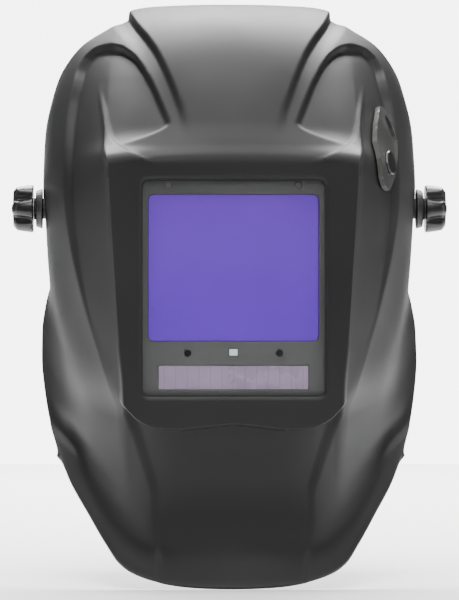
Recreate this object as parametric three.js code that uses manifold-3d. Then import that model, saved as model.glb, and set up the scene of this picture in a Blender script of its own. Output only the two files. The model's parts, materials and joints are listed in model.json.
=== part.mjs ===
// Auto-darkening welding helmet with its headgear, in millimetres.
// Frame: +Z up, the face looks along -Y, X runs through the two tilt pivots.
// Origin: midpoint between the pivots, where the wearer's temples are.
import * as THREE from "three";
import { mergeVertices } from "three/addons/utils/BufferGeometryUtils.js";
import Module from "manifold-3d";

const wasm = await Module();
wasm.setup();

// ---- driving dimensions -------------------------------------------------
const SHELL_HEIGHT = 352; // chin rim to roof
const PATTERN_HEIGHT = 371.5; // height of the pattern that SECTIONS is drawn at
const K = SHELL_HEIGHT / PATTERN_HEIGHT;
const WALL = 2.8; // shell wall thickness
const GAP = 0.3; // clearance between touching pieces

const LENS = { w: 114, h: 133, z: -50, t: 1.5 }; // front cover lens
const OPENING = { w: 108.5, h: 127.5, r: 5, chamfer: 1.6 }; // window in the shell
const GLASS = { w: 101, h: 87, z: -38, r: 3.5 }; // mirror-coated filter
const SOLAR = { w: 89, h: 14.6, z: -102.8 }; // solar strip
const STACK = { lens: -125.9, front: -124.1, rear: -119.4, back: -112 }; // y of the window layers

const BAND = { halfWidth: 80, front: -78, sideEnd: 46, z0: 9, z1: 39, t: 2 };
const REAR = { arm: 77.3, armStart: 14, back: 104, drop: -42, h: 18, t: 2 };
const STRAP_TOP = 95; // highest point of the crown straps

const BOLT_R = 4;
const KNOB = { r: 15.3, x0: 122.4, x1: 135.2, lobes: 6 };

// ---- materials ----------------------------------------------------------
const material = (color, roughness, metalness = 0) =>
  new THREE.MeshStandardMaterial({ color, roughness, metalness });
const NYLON = material(0x2b2b2c, 0.5);
const BLACK = material(0x151515, 0.55);
const GREY = material(0x55575a, 0.5);
const CLEAR = material(0xdfe8ee, 0.05);
const VIOLET = material(0x5a3fb0, 0.12, 0.6);
const SOLAR_PINK = material(0x9d8aa6, 0.2);
const RUBBER = material(0x101010, 0.8);
const FOAM = material(0x1d1e20, 0.95);
const STEEL = material(0xb5b6b8, 0.35, 1);
const GREEN = material(0x1d5a36, 0.5);
const LED = material(0xcdeee8, 0.3);

// ---- solids -------------------------------------------------------------
const helmet = new THREE.Group();

function add(name, geometry, mat) {
  const mesh = new THREE.Mesh(geometry, mat);
  mesh.name = name;
  helmet.add(mesh);
  return mesh;
}

function toSolid(geometry) {
  const bare = geometry.index ? geometry.toNonIndexed() : geometry.clone();
  bare.deleteAttribute("normal");
  bare.deleteAttribute("uv");
  const merged = mergeVertices(bare, 1e-4);
  return new wasm.Manifold(
    new wasm.Mesh({
      numProp: 3,
      vertProperties: merged.attributes.position.array,
      triVerts: new Uint32Array(merged.index.array),
    }),
  );
}

function toGeometry(solid) {
  const mesh = solid.getMesh();
  return new THREE.BufferGeometry()
    .setAttribute("position", new THREE.BufferAttribute(mesh.vertProperties, 3))
    .setIndex(new THREE.BufferAttribute(mesh.triVerts, 1));
}

const cut = (from, ...tools) =>
  toGeometry(tools.reduce((s, t) => s.subtract(toSolid(t)), toSolid(from)));
const common = (a, b) => toGeometry(toSolid(a).intersect(toSolid(b)));
const join = (...geometries) =>
  toGeometry(geometries.map(toSolid).reduce((a, b) => a.add(b)));

function block([x0, x1], [y0, y1], [z0, z1]) {
  const g = new THREE.BoxGeometry(x1 - x0, y1 - y0, z1 - z0);
  return g.translate((x0 + x1) / 2, (y0 + y1) / 2, (z0 + z1) / 2);
}

// Cylinder or cone along X (or Y) from a to b, radius r0 at a and r1 at b.
function rod(axis, a, b, r0, r1 = r0, u = 0, v = 0, sides = 24) {
  const g = new THREE.CylinderGeometry(r1, r0, b - a, sides);
  if (axis === "x") g.rotateZ(-Math.PI / 2).translate((a + b) / 2, u, v);
  else g.translate(0, (a + b) / 2, 0).translate(u, 0, v);
  return g;
}

function roundedRect(w, h, r) {
  const [x, y] = [w / 2, h / 2];
  const s = new THREE.Shape();
  s.moveTo(-x + r, -y);
  s.lineTo(x - r, -y);
  s.absarc(x - r, -y + r, r, -Math.PI / 2, 0);
  s.lineTo(x, y - r);
  s.absarc(x - r, y - r, r, 0, Math.PI / 2);
  s.lineTo(-x + r, y);
  s.absarc(-x + r, y - r, r, Math.PI / 2, Math.PI);
  s.lineTo(-x, -y + r);
  s.absarc(-x + r, -y + r, r, Math.PI, Math.PI * 1.5);
  return s;
}

// Plate with rounded corners, square to Y, from y0 (front) to y1 (back).
function plate(w, h, r, y0, y1, z, x = 0, segments = 3) {
  const g = new THREE.ExtrudeGeometry(roundedRect(w, h, r), {
    depth: y1 - y0,
    bevelEnabled: false,
    curveSegments: segments,
  });
  return g.rotateX(Math.PI / 2).translate(x, y1, z);
}

// Strip of rectangular section swept through frames {p, side, out}: width along
// side, thickness t grown outwards from p along out.
function ribbon(frames, width, t) {
  const corners = [];
  for (const { p, side, out } of frames)
    for (const [a, b] of [[-0.5, 0], [0.5, 0], [0.5, 1], [-0.5, 1]])
      corners.push(
        p.clone().addScaledVector(side, a * width).addScaledVector(out, b * t),
      );
  const index = [];
  const quad = (a, b, c, d) => index.push(a, b, c, a, c, d);
  const last = (frames.length - 1) * 4;
  for (let i = 0; i < last; i += 4)
    for (let j = 0; j < 4; j++) {
      const k = (j + 1) % 4;
      quad(i + j, i + k, i + 4 + k, i + 4 + j);
    }
  quad(3, 2, 1, 0);
  quad(last, last + 1, last + 2, last + 3);
  return closed(corners, index);
}

// Geometry from points and indices, turned to face outwards.
function closed(points, index) {
  const g = new THREE.BufferGeometry().setFromPoints(points);
  g.setIndex(index);
  if (toSolid(g).volume() < 0) g.setIndex(index.reverse());
  return g;
}

// ---- the shell's surface ------------------------------------------------
// Half sections from the chin rim up and over to the roof's rear edge. Each
// runs from the centre line to the rear rim through: half brow width, window
// side, bezel edge, side valley, side, rear side, rim. Pattern millimetres.
const SECTIONS = [
  [[0, -122, -240], [33, -120, -238.5], [57, -115, -233], [71, -107, -225.5],
    [81, -95.5, -212.5], [92, -80.5, -195], [103, -64, -177], [111, -48, -159]],
  [[0, -114.5, -221], [33, -112.5, -219.5], [50.5, -107.5, -214.5], [63, -99.5, -207],
    [75.5, -87.5, -194.5], [89, -70.5, -177.5], [101, -53, -161], [114.5, -38, -149]],
  [[0, -112.5, -200], [33, -111.5, -199], [50, -107.5, -196], [62, -100.5, -190],
    [73, -90.5, -180], [89, -69, -164], [103, -43, -149], [118, -26, -137]],
  [[0, -116, -173], [33, -115.5, -172], [50, -112.5, -170], [62, -107, -166],
    [72, -99.5, -161], [91, -74, -148], [106.5, -42, -134], [121.5, -12, -119]],
  [[0, -129, -146], [33, -128.5, -145], [50, -126, -143], [62, -121.5, -138],
    [72, -113.5, -135], [93, -78, -127], [109, -36, -115], [123.8, 2, -99]],
  [[0, -136.5, -120], [33, -136.5, -120], [54, -136, -119], [68, -133, -117],
    [78, -120, -114], [99, -75, -105], [112, -28, -93], [124, 14, -81]],
  [[0, -137, -80], [33, -137, -80], [56, -137, -80], [71.8, -137, -80],
    [89, -106, -80], [107, -60, -75], [115.5, -15, -69], [122, 25, -63]],
  [[0, -137, -30], [33, -137, -30], [58, -137, -30], [75, -137, -30],
    [101.6, -88, -31], [114, -42, -32], [119.5, 0, -38], [118, 33, -42]],
  [[0, -137, 18], [33, -137, 18], [60, -136.7, 17.5], [78, -134.5, 16],
    [106.4, -80, 9], [117.5, -35, 2], [121.5, 4, -8], [118.5, 38, -20]],
  [[0, -121, 52], [33, -119, 51.5], [60, -113.5, 49], [82, -103, 45],
    [105.5, -66, 37], [117.5, -30, 26], [123, 4, 14], [121, 38, 2]],
  [[0, -96, 86], [33, -94, 85.5], [58, -88, 82], [82, -74, 75],
    [102.5, -47, 64], [116, -20, 50], [122.5, 9, 35], [122.5, 38, 20]],
  [[0, -62, 113], [33, -60, 112], [59, -55, 108.5], [81, -44, 100],
    [100.5, -25, 87], [114.2, -5, 71], [121.3, 16, 54.5], [122.8, 38, 38]],
  [[0, -27, 127.5], [33, -26, 126.8], [60, -22, 124], [81, -15, 114],
    [99.5, -3, 101.5], [111.8, 10, 85.5], [118.7, 24, 69], [120.8, 38, 54]],
  [[0, 5, 131.5], [33, 5.5, 131], [62, 7, 128.6], [80, 10, 119],
    [97, 15, 108.5], [109.1, 22, 94.5], [115.2, 30, 81], [117.6, 38, 68]],
  [[0, 36, 127.5], [32, 36, 127], [60, 36, 124.5], [77.5, 36.5, 115.5],
    [92.5, 37, 105.5], [103.2, 37.5, 96.5], [109.7, 38, 88.5], [113.8, 38, 80]],
];
const COLUMNS = SECTIONS[0].length - 1;
const ROWS = SECTIONS.length - 1;
// How sharp the bezel edge (column 3) and the side valley (column 4) are, by section.
const BEZEL_CREASE = [0, 0, 0, 0.2, 0.5, 0.9, 1, 1, 1, 0.7, 0.3, 0, 0, 0, 0];
const VALLEY_CREASE = [0, 0, 0, 0, 0.3, 0.6, 0.7, 0.7, 0.6, 0.4, 0, 0, 0, 0, 0];

const clamp = (v, a = 0, b = 1) => Math.min(b, Math.max(a, v));
const smooth = (v) => clamp(v) ** 2 * (3 - 2 * clamp(v));
const mix = (a, b, t) => a + (b - a) * t;

// Cubic through p1 and p2 with tangents m1 and m2.
function hermite(p1, p2, m1, m2, t) {
  const [t2, t3] = [t * t, t * t * t];
  return (
    p1 * (2 * t3 - 3 * t2 + 1) +
    m1 * (t3 - 2 * t2 + t) +
    p2 * (3 * t2 - 2 * t3) +
    m2 * (t3 - t2)
  );
}

// Tangent between two steps of a curve that must not swing past its points.
function tangent(before, after) {
  if (before * after <= 0) return 0;
  const size = Math.min(Math.abs(before + after) / 2, 3 * Math.abs(before), 3 * Math.abs(after));
  return Math.sign(before) * size;
}

// Smooth value at position s of a list of numbers; flat runs stay flat.
function along(list, s) {
  const i = clamp(Math.floor(s), 0, list.length - 2);
  const step = (k) => list[k + 1] - list[k];
  const m1 = i > 0 ? tangent(step(i - 1), step(i)) : step(0);
  const m2 = i < list.length - 2 ? tangent(step(i), step(i + 1)) : step(i);
  return hermite(list[i], list[i + 1], m1, m2, s - i);
}

// Base surface at column c (0 centre to COLUMNS rim) and section s, x >= 0.
function base(c, s) {
  const i = clamp(Math.floor(c), 0, COLUMNS - 1);
  const t = c - i;
  const row = clamp(Math.floor(s), 0, ROWS - 1);
  const creaseAt = (k) => {
    const list = k === 3 ? BEZEL_CREASE : k === 4 ? VALLEY_CREASE : null;
    return list ? mix(list[row], list[row + 1], s - row) : 0;
  };
  const value = (axis) => {
    const p = (k) => {
      const mirrored = k < 0;
      const v = along(SECTIONS.map((r) => r[Math.abs(k)][axis]), s);
      return mirrored && axis === 0 ? -v : v;
    };
    const [a, b] = [p(i), p(i + 1)];
    const before = p(i - 1);
    const after = i + 2 <= COLUMNS ? p(i + 2) : 2 * b - a;
    const m1 = mix((b - before) / 2, b - a, creaseAt(i));
    const m2 = mix((after - a) / 2, b - a, creaseAt(i + 1));
    return hermite(a, b, m1, m2, t);
  };
  return new THREE.Vector3(value(0), value(1), value(2));
}

// Styling lines seen from the front: half width against height, pattern mm.
const line = (...points) => (z) => {
  const [z0, z1] = [points[0][0], points.at(-1)[0]];
  const zc = clamp(z, z0, z1);
  const i = clamp(points.findIndex(([pz]) => pz >= zc) - 1, 0, points.length - 2);
  const t = (zc - points[i][0]) / (points[i + 1][0] - points[i][0]);
  return along(points.map((p) => p[1]), i + t);
};
const panelEdge = line([38, 25], [47, 28.7], [62, 33.2], [75, 37.7], [87, 42.5],
  [97, 47.1], [107, 53.2], [116.5, 60.1], [127, 65.8]);
const archInner = line([42, 35.6], [53, 40.4], [66, 45.7], [78.5, 51], [88.5, 56.4],
  [96.7, 62.1], [103.4, 70.5], [107, 78.7]);
const archOuter = line([-119, 74.2], [-108, 78.6], [-90, 84], [-71, 91.5], [-49, 97.2],
  [-28, 101.6], [-6, 105], [19, 106.4], [42, 106.3], [56, 105.4], [70, 103.8],
  [82, 101.2], [91, 99.2], [99, 94.8], [104.4, 88.5], [107, 78.7]);
const bezelEdge = line([-112, 69.4], [-91, 71], [-48, 73.6], [-2, 77.3], [22, 78.9],
  [40, 80.9], [57, 83.6], [79, 87.8]);
const lipEdge = line([0, -139.3], [9, -140.1], [22, -141.7], [36, -142.9], [45, -142],
  [54, -139.8], [61, -135.8], [67, -129.6], [70.6, -124.6]);
const scoopEdge = line([26, 48], [29, 56], [33, 64], [39, 72.3], [46, 76.5], [54, 79.6],
  [68, 83.6], [80, 87.4]);
const chinEdge = line([-232, 47.5], [-214, 49], [-200, 51], [-180, 51.5], [-170, 54.5],
  [-158, 58.5], [-144, 63], [-132, 68]);

// Height of the moulded styling above the base surface at front-view (x, z).
function styling(x, z) {
  let h = 0;
  const brow = smooth((z - 35) / 70);
  const fromPanel = x - panelEdge(z);
  h += 3.2 * brow * (1 - smooth((fromPanel + 1.5) / 4));
  h -= 2.2 * brow * smooth(fromPanel / 4) * (1 - smooth((fromPanel - 6) / 10));
  if (z < 107) {
    const inner = mix(bezelEdge(z), archInner(z), smooth((z - 30) / 22));
    const outer = archOuter(z);
    const across = clamp((x - inner) / Math.max(outer - inner, 1));
    const deepInner = 6.5 * smooth((z - 34) / 50);
    const deepOuter = 4.2 * smooth((z + 105) / 150);
    const inside = smooth((x - inner) / 3) * (1 - smooth((x - outer + 1.5) / 3));
    h -= inside * mix(deepInner, deepOuter, across) * smooth((107 - z) / 5);
  }
  const ridge = smooth((z - 24) / 6) * (1 - smooth((z - 60) / 24));
  const onRidge = smooth((x - scoopEdge(z)) / 3.5) * (1 - smooth((x - bezelEdge(z)) / 3));
  h += 2.6 * ridge * onRidge;
  if (z < -110) {
    const depth = 3 * (1 - smooth((-165 - z) / 45)) + 0.9;
    const below = 1 - smooth((z - lipEdge(x) + 0.5) / 2);
    h -= depth * below * (1 - smooth((x - chinEdge(z) + 5) / 6)) * smooth((z + 241) / 6);
  }
  return h;
}

// How far a point moves forward so that the bezel is one flat plane out to its
// crease and its lower lip.
const BEZEL_Y = -137;
const BEZEL_TOP = 24;
function bezelFill({ x, y, z }) {
  const across = 1 - smooth((x - bezelEdge(z) + 1) / 4);
  const between = smooth((z - lipEdge(x)) / 2.2) * (1 - smooth((z - BEZEL_TOP) / 13));
  return across * between * Math.max(0, y - BEZEL_Y);
}

// Outer shell point and normal in real millimetres; c < 0 is the -X side.
function shellPoint(c, s, inward = 0) {
  const side = Math.sign(c) || 1;
  const a = Math.min(Math.abs(c), COLUMNS);
  const e = 0.02;
  const p = base(a, s);
  const across = base(Math.min(a + e, COLUMNS), s).sub(base(Math.max(a - e, 0), s));
  const up = base(a, Math.min(s + e, ROWS)).sub(base(a, Math.max(s - e, 0)));
  if (a < e) across.set(1, 0, 0);
  const normal = across.cross(up).normalize();
  p.y -= bezelFill(p);
  p.addScaledVector(normal, styling(p.x, p.z)).multiplyScalar(K);
  p.addScaledVector(normal, -inward);
  p.x *= side;
  normal.x *= side;
  return { p, normal };
}

// Closed layer of the shell's surface between two depths: an outer and an inner
// skin on one grid of columns and sections, joined round the edge.
function shellLayer(cs, rowSteps, depths) {
  const points = [];
  for (const inward of depths)
    for (const s of rowSteps)
      for (const c of cs) points.push(shellPoint(c, s, inward).p);
  const [nc, nr] = [cs.length, rowSteps.length];
  const at = (skin, r, c) => skin * nc * nr + r * nc + c;
  const index = [];
  const quad = (a, b, c, d) => index.push(a, b, d, b, c, d);
  for (let r = 0; r < nr - 1; r++)
    for (let c = 0; c < nc - 1; c++) {
      quad(at(0, r, c), at(0, r, c + 1), at(0, r + 1, c + 1), at(0, r + 1, c));
      quad(at(1, r, c), at(1, r + 1, c), at(1, r + 1, c + 1), at(1, r, c + 1));
    }
  for (let c = 0; c < nc - 1; c++) {
    quad(at(0, 0, c + 1), at(0, 0, c), at(1, 0, c), at(1, 0, c + 1));
    quad(at(0, nr - 1, c), at(0, nr - 1, c + 1), at(1, nr - 1, c + 1), at(1, nr - 1, c));
  }
  for (let r = 0; r < nr - 1; r++) {
    quad(at(0, r, 0), at(0, r + 1, 0), at(1, r + 1, 0), at(1, r, 0));
    quad(at(0, r + 1, nc - 1), at(0, r, nc - 1), at(1, r, nc - 1), at(1, r + 1, nc - 1));
  }
  return closed(points, index);
}

const bothSides = (steps) => steps.map((c) => -c).reverse().slice(0, -1).concat(steps);
const COLUMN_STEPS = [0, 0.5, 1, 1.5, 2, 2.5, 2.8, 3, 3.2, 3.6, 3.8, 4, 4.25, 4.5, 5, 5.5, 6,
  6.5, 7];
const ROW_STEPS = [0, 0.5, 1, 1.5, 2, 2.5, 3, 3.5, 4, 4.15, 4.3, 4.5, 4.7, 5, 6, 7, 8, 8.2, 8.5,
  8.75, 9, 9.25, 9.5, 9.75, 10, 10.5, 11, 11.5, 12, 12.5, 13, 13.5, 14];
const PIVOT_HOLE_R = 6.6;

// Frame of the grind button on the helmet's left side facet: local x to the
// rear, y up the facet and z out of it.
const grindSeat = shellPoint(3.69, 8.5);
const grindRear = new THREE.Vector3(0, 0, 1).cross(grindSeat.normal).normalize();
const grindFrame = new THREE.Matrix4()
  .makeBasis(grindRear, grindSeat.normal.clone().cross(grindRear), grindSeat.normal)
  .setPosition(grindSeat.p);

function helmetShell() {
  const outer = plate(OPENING.w + 2 * OPENING.chamfer, OPENING.h + 2 * OPENING.chamfer,
    OPENING.r + OPENING.chamfer, -140, -129, LENS.z);
  const through = plate(OPENING.w, OPENING.h, OPENING.r, -140, -110, LENS.z);
  const switchHole = new THREE.CylinderGeometry(7, 7, 30, 20).rotateX(Math.PI / 2);
  switchHole.applyMatrix4(grindFrame);
  return cut(
    shellLayer(bothSides(COLUMN_STEPS), ROW_STEPS, [0, WALL]),
    outer,
    through,
    plate(WINDOW_FRAME.w + 0.8, WINDOW_FRAME.h + 0.8, 7.4, WINDOW_FRAME.y0 - 0.35, -100, LENS.z),
    switchHole,
    rod("x", -130, 130, PIVOT_HOLE_R),
  );
}

// ---- window assembly ----------------------------------------------------
const WINDOW_FRAME = { w: 122.5, h: 141.5, y0: -127.0 };

function windowPieces() {
  const z = LENS.z;
  add("helmet_shell", helmetShell(), NYLON);
  add("lens_gasket", cut(plate(LENS.w, LENS.h, 5, -127.1, STACK.lens - GAP, z),
    plate(LENS.w - 7, LENS.h - 7, 3, -130, -120, z)), RUBBER);
  add("cover_lens", plate(LENS.w, LENS.h, 5, STACK.lens, STACK.lens + LENS.t, z), CLEAR);
  add("window_frame", cut(
    plate(WINDOW_FRAME.w, WINDOW_FRAME.h, 7, WINDOW_FRAME.y0, STACK.back, z),
    plate(LENS.w + 1, LENS.h + 1, 5.3, -130, -100, z)), BLACK);
  const holes = [
    plate(GLASS.w, GLASS.h, GLASS.r, -130, -100, GLASS.z),
    plate(SOLAR.w, SOLAR.h, 1, -130, -100, SOLAR.z),
    ...SENSORS.map(([x, sz]) => rod("y", -130, -100, 2.3, 2.3, x, sz, 10)),
    plate(5.6, 4.6, 0.6, -130, -100, LED_Z),
  ];
  add("adf_front_case", cut(
    plate(LENS.w - 0.6, LENS.h - 0.6, 5, STACK.front, STACK.front + 4, z), ...holes), GREY);
  add("filter_glass", plate(GLASS.w - 2 * GAP, GLASS.h - 2 * GAP, GLASS.r,
    STACK.front + 0.6, STACK.front + 3.6, GLASS.z), VIOLET);
  add("solar_cell", plate(SOLAR.w - 2 * GAP, SOLAR.h - 2 * GAP, 0.8,
    STACK.front + 0.7, STACK.front + 2.7, SOLAR.z), SOLAR_PINK);
  SENSORS.forEach(([x, sz], i) => add("arc_sensor_" + (i + 1),
    rod("y", STACK.front + 1, STACK.front + 3.5, 1.9, 1.9, x, sz, 10), BLACK));
  add("led_light_pipe", plate(4.8, 3.8, 0.4, STACK.front + 0.4, STACK.front + 3.6, LED_Z), LED);
  const rear = { y0: STACK.rear, y1: STACK.rear + 7 };
  add("adf_rear_case", cut(
    plate(LENS.w - 0.6, LENS.h - 0.6, 5, rear.y0, rear.y1, z),
    plate(LENS.w - 5, LENS.h - 5, 3, rear.y0 - 1, rear.y0 + 5, z),
    plate(GLASS.w - 6, GLASS.h - 6, 3, -130, -100, GLASS.z),
    plate(60, 8, 2, -130, -100, -100)), BLACK);
  add("lcd_cell", plate(GLASS.w - 1, GLASS.h - 1, 2, rear.y0 + 0.3, rear.y0 + 3.3, GLASS.z), CLEAR);
  add("circuit_board", plate(104, 26, 1, rear.y0 + 1.5, rear.y0 + 3.1, -99), GREEN);
  add("inner_lens", plate(106, 92, 3, STACK.back + GAP, STACK.back + GAP + 1, -37.6), CLEAR);
  add("cartridge_retainer", cut(
    plate(WINDOW_FRAME.w, WINDOW_FRAME.h, 7, STACK.back + 1.6, RETAINER_Y, z),
    plate(98, 83, 3, -130, -90, GLASS.z),
    plate(MODULE.w + 0.8, MODULE.h + 0.8, 3, -130, -90, MODULE.z)), BLACK);
}
const SENSORS = [[-38.5, 11], [38.5, 11], [-27, -88.4], [27, -88.4]];
const LED_Z = -87.9;
const MODULE = { w: 106, h: 27, z: -99.5, y0: STACK.back + GAP, y1: -101 };
const RETAINER_Y = -107.6;

// Control module behind the filter: buttons, readout and battery compartments.
const BUTTONS = { shade_button: -12, sensitivity_button: 0, delay_button: 12 };
const BUTTON_Z = -108;
const BATTERY_X = 37;
function controlPieces() {
  const { w, h, z, y0, y1 } = MODULE;
  const wells = [-BATTERY_X, BATTERY_X].map((x) => rod("y", y0 + 2, 0, 12.6, 12.6, x, z, 32));
  const slots = Object.values(BUTTONS).map((x) => rod("y", y0 + 4, 0, 4.3, 4.3, x, BUTTON_Z, 16));
  add("control_housing", cut(plate(w, h, 3, y0, y1, z), ...wells, ...slots,
    plate(28, 9, 1, y1 - 2, 0, -95)), BLACK);
  add("lcd_readout", plate(27.2, 8.2, 0.8, y1 - 1.7, y1 - 0.2, -95), GREY);
  for (const [name, x] of Object.entries(BUTTONS))
    add(name, rod("y", y1 - 4.5, y1 + 1.6, 3.9, 3.6, x, BUTTON_Z, 20), GREY);
  for (const [side, x] of [["right", -BATTERY_X], ["left", BATTERY_X]]) {
    add("battery_" + side, rod("y", y0 + 2.3, y0 + 7.2, 12.2, 12.2, x, z, 28), STEEL);
    add("battery_cap_" + side, cut(
      rod("y", y0 + 7.5, y1 + 1.2, 12.3, 12.3, x, z, 36),
      block([x - 8, x + 8], [y1 + 0.2, y1 + 3], [z - 1, z + 1])), GREY);
  }
}

// ---- grind switch ---------------------------------------------------------
function placed(geometry) {
  return geometry.applyMatrix4(grindFrame);
}
function extruded(shape, depth, z0, bevel = 0) {
  const g = new THREE.ExtrudeGeometry(shape, {
    depth: depth - 2 * bevel,
    bevelEnabled: bevel > 0,
    bevelThickness: bevel,
    bevelSize: bevel,
    bevelOffset: -bevel,
    bevelSegments: 1,
    curveSegments: 6,
  });
  return g.translate(0, 0, z0 + bevel);
}
function polygon(points) {
  return new THREE.Shape(points.map(([x, y]) => new THREE.Vector2(x, y)));
}
const GRIND_PLATE = [[-7, -16.4], [5.8, -8], [17.5, 4.2], [26, 15.6], [33, 30], [31, 35.4],
  [26.4, 38.4], [22, 38.6], [7, 27], [-6.6, 14.4], [-13.5, 3], [-17.2, -8.5], [-13.5, -14.3]];
const GRIND_LAYER = { top: 4.1, bottom: 0.95 }; // heights above the shell's skin
const GRIND_CAP = { rx: 6, ry: 8.6, turn: -0.66 };
const GRIND_WELL_FLOOR = 1.5;
const GRIND_DISH = { x: 24.2, y: 24, rx: 3.8, ry: 9, floor: 0.2 };
function ellipse(rx, ry, turn = 0, x = 0, y = 0) {
  return new THREE.Shape().absellipse(x, y, rx, ry, 0, 2 * Math.PI, false, turn);
}
function grindPieces() {
  const { rx, ry, turn } = GRIND_CAP;
  const stem = new THREE.CylinderGeometry(3, 3, 9, 16).rotateX(Math.PI / 2);
  const bore = new THREE.CylinderGeometry(3.4, 3.4, 30, 16).rotateX(Math.PI / 2);
  const well = extruded(ellipse(rx + 0.4, ry + 0.4, turn), 9, GRIND_WELL_FLOOR);
  const { x, y, floor } = GRIND_DISH;
  const dish = extruded(ellipse(GRIND_DISH.rx, GRIND_DISH.ry, 0, x, y), 9, floor);
  const steps = (from, to, n) => Array.from({ length: n + 1 }, (_, i) => mix(from, to, i / n));
  const layer = shellLayer(steps(3.05, 4.6, 14), steps(7.6, 10.4, 22),
    [-GRIND_LAYER.top, -GRIND_LAYER.bottom]);
  const outline = placed(extruded(polygon(GRIND_PLATE), 30, -12));
  add("grind_plate", cut(common(layer, outline), placed(well), placed(dish), placed(bore)), BLACK);
  const cap = extruded(ellipse(rx, ry, turn), 3, GRIND_WELL_FLOOR + 1.4, 0.6);
  stem.translate(0, 0, GRIND_WELL_FLOOR - 1.3);
  add("grind_button", placed(join(cap, stem)), GREY);
  const body = new THREE.BoxGeometry(12, 16, 8).translate(0, 0, -WALL - 7.2);
  add("grind_switch", placed(body), BLACK);
}

// Lead from the grind switch down the inside of the shell to the control module.
function grindLead() {
  const route = [[3.46, 8.05], [3.4, 7.7], [3.32, 7.3], [3.25, 6.8], [3.2, 6.3], [3.2, 5.8]];
  const points = route.map(([c, s]) => shellPoint(c, s, WALL + 3.2).p);
  points.push(new THREE.Vector3(64, -104.5, -97), new THREE.Vector3(MODULE.w / 2 + 0.6, -105, -99));
  const path = new THREE.CatmullRomCurve3(points);
  const ring = new THREE.Shape().absarc(0, 0, 1.3, 0, 2 * Math.PI);
  const g = new THREE.ExtrudeGeometry(ring, {
    steps: 34, extrudePath: path, curveSegments: 4, bevelEnabled: false,
  });
  add("grind_lead", g, RUBBER);
}

// ---- headgear -------------------------------------------------------------
const vec = (x, y, z) => new THREE.Vector3(x, y, z);
const UP = vec(0, 0, 1);

// Frames round the front of the head, from +X side end to -X side end.
function browFrames(halfWidth, front, sideEnd, z, steps) {
  const frames = [];
  const put = (x, y, nx, ny) =>
    frames.push({ p: vec(x, y, z), side: UP, out: vec(nx, ny, 0).normalize() });
  put(halfWidth, sideEnd, 1, 0);
  for (let i = 0; i <= steps; i++) {
    const a = (Math.PI * i) / steps;
    const [c, s] = [Math.cos(a), Math.sin(a)];
    put(halfWidth * Math.sign(c) * Math.abs(c) ** 0.85, front * s ** 0.85,
      c * -front, s * -halfWidth);
  }
  put(-halfWidth, sideEnd, -1, 0);
  return frames;
}

// Frames round the back of the head; outward moves them off the band's inner face.
function rearFrames(steps, outward = 0) {
  const frames = [];
  const half = REAR.arm;
  const put = (x, y, z, nx, ny) =>
    frames.push({ p: vec(x, y, z), side: UP, out: vec(nx, ny, 0).normalize() });
  const z0 = (BAND.z0 + BAND.z1) / 2;
  put(half - REAR.t, REAR.armStart, z0, 1, 0);
  for (let i = 0; i <= steps; i++) {
    const a = (Math.PI * i) / steps;
    const [c, s] = [Math.cos(a), Math.sin(a)];
    put((half - REAR.t) * c, BAND.sideEnd + (REAR.back - REAR.t - BAND.sideEnd) * s,
      mix(z0, REAR.drop, smooth(s * 1.05)), c * REAR.back, s * half);
  }
  put(-half + REAR.t, REAR.armStart, z0, -1, 0);
  frames.forEach(({ p, out }) => p.addScaledVector(out, outward));
  return frames;
}

// Strap from the +X band over the crown to the -X band.
function crownFrames(y, top, steps) {
  const [x, z0] = [BAND.halfWidth + BAND.t + GAP, BAND.z1 + 1];
  const side = vec(0, 1, 0);
  const frames = [{ p: vec(x, y, z0 - 18), side, out: vec(1, 0, 0) }];
  for (let i = 0; i <= steps; i++) {
    const a = (Math.PI * i) / steps;
    const [c, s] = [Math.cos(a), Math.sin(a)];
    const p = vec(x * Math.sign(c) * Math.abs(c) ** 0.8, y, z0 + (top - z0) * s ** 0.8);
    const out = vec(c * (top - z0), 0, s * x).normalize();
    frames.push({ p, side, out });
  }
  frames.push({ p: vec(-x, y, z0 - 18), side, out: vec(-1, 0, 0) });
  return frames;
}

const STRAPS = { front: -2, rear: 34 };
function headgearPieces() {
  const zMid = (BAND.z0 + BAND.z1) / 2;
  add("brow_band", ribbon(browFrames(BAND.halfWidth, BAND.front, BAND.sideEnd, zMid, 22),
    BAND.z1 - BAND.z0, BAND.t), BLACK);
  add("sweatband", ribbon(
    browFrames(BAND.halfWidth - 7.5, BAND.front + 7.2, -14, zMid, 20).slice(1, -1),
    30, 6), FOAM);
  for (const [name, y] of Object.entries(STRAPS))
    add("crown_strap_" + name, ribbon(crownFrames(y, STRAP_TOP, 18), 16, 1.6), BLACK);
  add("crown_bridge", block([-9, 9], [STRAPS.front + 8.3, STRAPS.rear - 8.3],
    [STRAP_TOP - 0.6, STRAP_TOP + 1.6]), BLACK);
  add("rear_band", ribbon(rearFrames(22), REAR.h, REAR.t), BLACK);
  const { back, drop } = REAR;
  const pad = ribbon(rearFrames(22, -9.4), 60, 9);
  add("nape_pad", common(pad, plate(84, 32, 12, 60, back, drop)), FOAM);
  const housing = ribbon(rearFrames(22, REAR.t + 0.4), 60, 11);
  add("ratchet_housing", cut(common(housing, plate(82, 36, 15, 70, back + 20, drop)),
    rod("y", back + 3, back + 20, 12, 12, 0, drop, 28)), BLACK);
  add("ratchet_pinion", rod("y", back + 3.4, back + 9, 9, 9, 0, drop, 14), GREY);
  add("ratchet_knob", knobBody("y", back + 12.2, back + 26.5, 21, 12, drop,
    rod("y", back + 9.4, back + 13, 5, 5, 0, drop, 16)), BLACK);
}

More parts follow.
